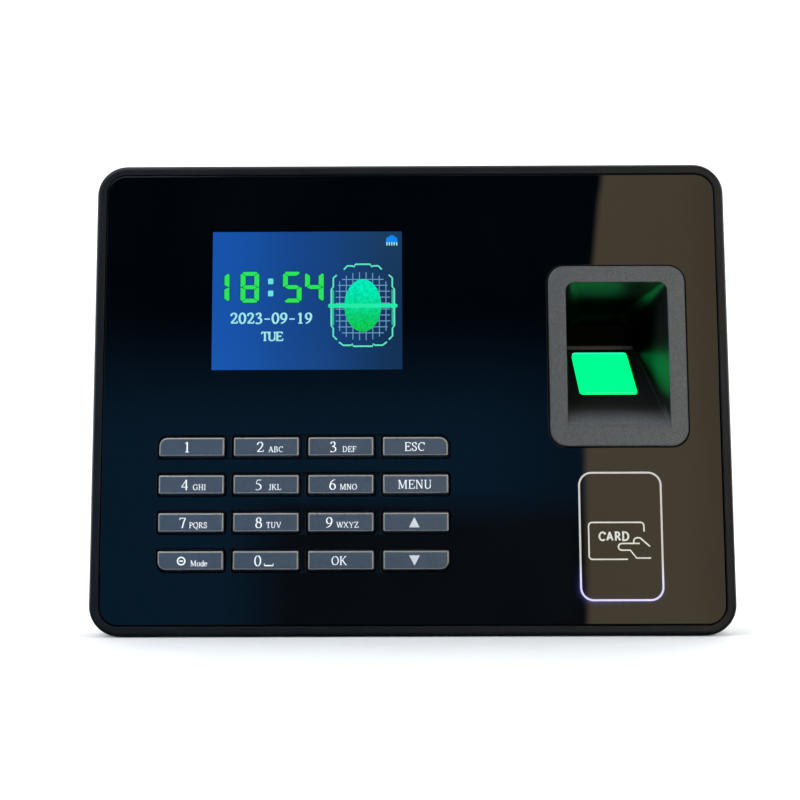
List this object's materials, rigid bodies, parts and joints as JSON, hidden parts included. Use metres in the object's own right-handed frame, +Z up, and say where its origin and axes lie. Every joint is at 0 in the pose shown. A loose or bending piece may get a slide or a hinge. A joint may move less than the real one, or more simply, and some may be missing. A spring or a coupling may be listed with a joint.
{
  "type": "fingerprint scanner terminal",
  "caption": "Wall-hung fingerprint terminal with a glossy front, lit display, keypad, angled finger well, card zone, rear cover with a release tab, and a hook-on steel wall bracket.",
  "frame": {"origin": "centre of the bounding box on the surface that the terminal stands on", "axes": "+X to the right seen from the front, +Y from the front towards the wall, +Z up"},
  "size_m": [0.19, 0.0364, 0.141],
  "materials": {
    "housing_plastic": "satin blue-black moulded plastic",
    "lens_gloss": "polished black-backed acrylic",
    "keycap": "satin grey-blue metallic paint",
    "well_plastic": "fine-textured dark grey plastic",
    "sensor_window": "polished optical window lit green from behind",
    "display": "lit colour display",
    "diffuser": "milky diffusing plastic",
    "steel": "zinc-plated steel",
    "silicone": "grey silicone rubber",
    "circuit_board": "green solder-masked board",
    "inner_plastic": "plain black moulded plastic",
    "cover_plastic": "fine-textured black plastic",
    "clear_plastic": "clear light-guide plastic",
    "header_plastic": "green connector plastic",
    "bracket_steel": "black powder-coated sheet steel",
    "label_paper": "white printed label film"
  },
  "bodies": {
    "terminal": {"front_housing": "housing_plastic", "front_lens": "lens_gloss", "lcd_panel": "display", "lcd_backlight": "diffuser", "lcd_frame": "steel", "keypad_mat": "silicone", "keypad_board": "circuit_board", "finger_well": "well_plastic", "sensor_glass": "sensor_window", "sensor_housing": "inner_plastic", "sensor_board": "circuit_board", "sensor_camera": "inner_plastic", "sensor_led_strip": "diffuser", "card_light_guide": "clear_plastic", "card_antenna": "circuit_board", "main_board": "circuit_board", "clock_battery": "steel", "terminal_header": "header_plastic", "speaker": "inner_plastic", "rear_cover": "cover_plastic", "rear_label": "label_paper", "board_screw_1": "steel", "board_screw_2": "steel", "board_screw_3": "steel", "board_screw_4": "steel", "cover_screw_1": "steel", "cover_screw_2": "steel", "cover_screw_3": "steel", "cover_screw_4": "steel"},
    "key_1": {"key_1": "keycap"},
    "key_2": {"key_2": "keycap"},
    "key_3": {"key_3": "keycap"},
    "key_esc": {"key_esc": "keycap"},
    "key_4": {"key_4": "keycap"},
    "key_5": {"key_5": "keycap"},
    "key_6": {"key_6": "keycap"},
    "key_menu": {"key_menu": "keycap"},
    "key_7": {"key_7": "keycap"},
    "key_8": {"key_8": "keycap"},
    "key_9": {"key_9": "keycap"},
    "key_up": {"key_up": "keycap"},
    "key_mode": {"key_mode": "keycap"},
    "key_0": {"key_0": "keycap"},
    "key_ok": {"key_ok": "keycap"},
    "key_down": {"key_down": "keycap"},
    "release_tab": {"release_tab": "cover_plastic"},
    "wall_bracket": {"wall_bracket": "bracket_steel"}
  },
  "joints": [
    {"name": "key_1_press", "type": "slide", "parent": "terminal", "child": "key_1", "axis": [0, 1, 0], "range_m": [0, 0.0008], "stiffness_N_per_m": 800},
    {"name": "key_2_press", "type": "slide", "parent": "terminal", "child": "key_2", "axis": [0, 1, 0], "range_m": [0, 0.0008], "stiffness_N_per_m": 800},
    {"name": "key_3_press", "type": "slide", "parent": "terminal", "child": "key_3", "axis": [0, 1, 0], "range_m": [0, 0.0008], "stiffness_N_per_m": 800},
    {"name": "key_esc_press", "type": "slide", "parent": "terminal", "child": "key_esc", "axis": [0, 1, 0], "range_m": [0, 0.0008], "stiffness_N_per_m": 800},
    {"name": "key_4_press", "type": "slide", "parent": "terminal", "child": "key_4", "axis": [0, 1, 0], "range_m": [0, 0.0008], "stiffness_N_per_m": 800},
    {"name": "key_5_press", "type": "slide", "parent": "terminal", "child": "key_5", "axis": [0, 1, 0], "range_m": [0, 0.0008], "stiffness_N_per_m": 800},
    {"name": "key_6_press", "type": "slide", "parent": "terminal", "child": "key_6", "axis": [0, 1, 0], "range_m": [0, 0.0008], "stiffness_N_per_m": 800},
    {"name": "key_menu_press", "type": "slide", "parent": "terminal", "child": "key_menu", "axis": [0, 1, 0], "range_m": [0, 0.0008], "stiffness_N_per_m": 800},
    {"name": "key_7_press", "type": "slide", "parent": "terminal", "child": "key_7", "axis": [0, 1, 0], "range_m": [0, 0.0008], "stiffness_N_per_m": 800},
    {"name": "key_8_press", "type": "slide", "parent": "terminal", "child": "key_8", "axis": [0, 1, 0], "range_m": [0, 0.0008], "stiffness_N_per_m": 800},
    {"name": "key_9_press", "type": "slide", "parent": "terminal", "child": "key_9", "axis": [0, 1, 0], "range_m": [0, 0.0008], "stiffness_N_per_m": 800},
    {"name": "key_up_press", "type": "slide", "parent": "terminal", "child": "key_up", "axis": [0, 1, 0], "range_m": [0, 0.0008], "stiffness_N_per_m": 800},
    {"name": "key_mode_press", "type": "slide", "parent": "terminal", "child": "key_mode", "axis": [0, 1, 0], "range_m": [0, 0.0008], "stiffness_N_per_m": 800},
    {"name": "key_0_press", "type": "slide", "parent": "terminal", "child": "key_0", "axis": [0, 1, 0], "range_m": [0, 0.0008], "stiffness_N_per_m": 800},
    {"name": "key_ok_press", "type": "slide", "parent": "terminal", "child": "key_ok", "axis": [0, 1, 0], "range_m": [0, 0.0008], "stiffness_N_per_m": 800},
    {"name": "key_down_press", "type": "slide", "parent": "terminal", "child": "key_down", "axis": [0, 1, 0], "range_m": [0, 0.0008], "stiffness_N_per_m": 800},
    {"name": "release_tab_flex", "type": "hinge", "parent": "terminal", "child": "release_tab", "pos_m": [0.0076, -0.0026, 0.1383], "axis": [-1, 0, 0], "range_deg": [0, 4], "stiffness_Nm_per_rad": 0.6},
    {"name": "bracket_lift_off", "type": "slide", "parent": "terminal", "child": "wall_bracket", "axis": [0, 0, 1], "range_m": [-0.008, 0]}
  ]
}
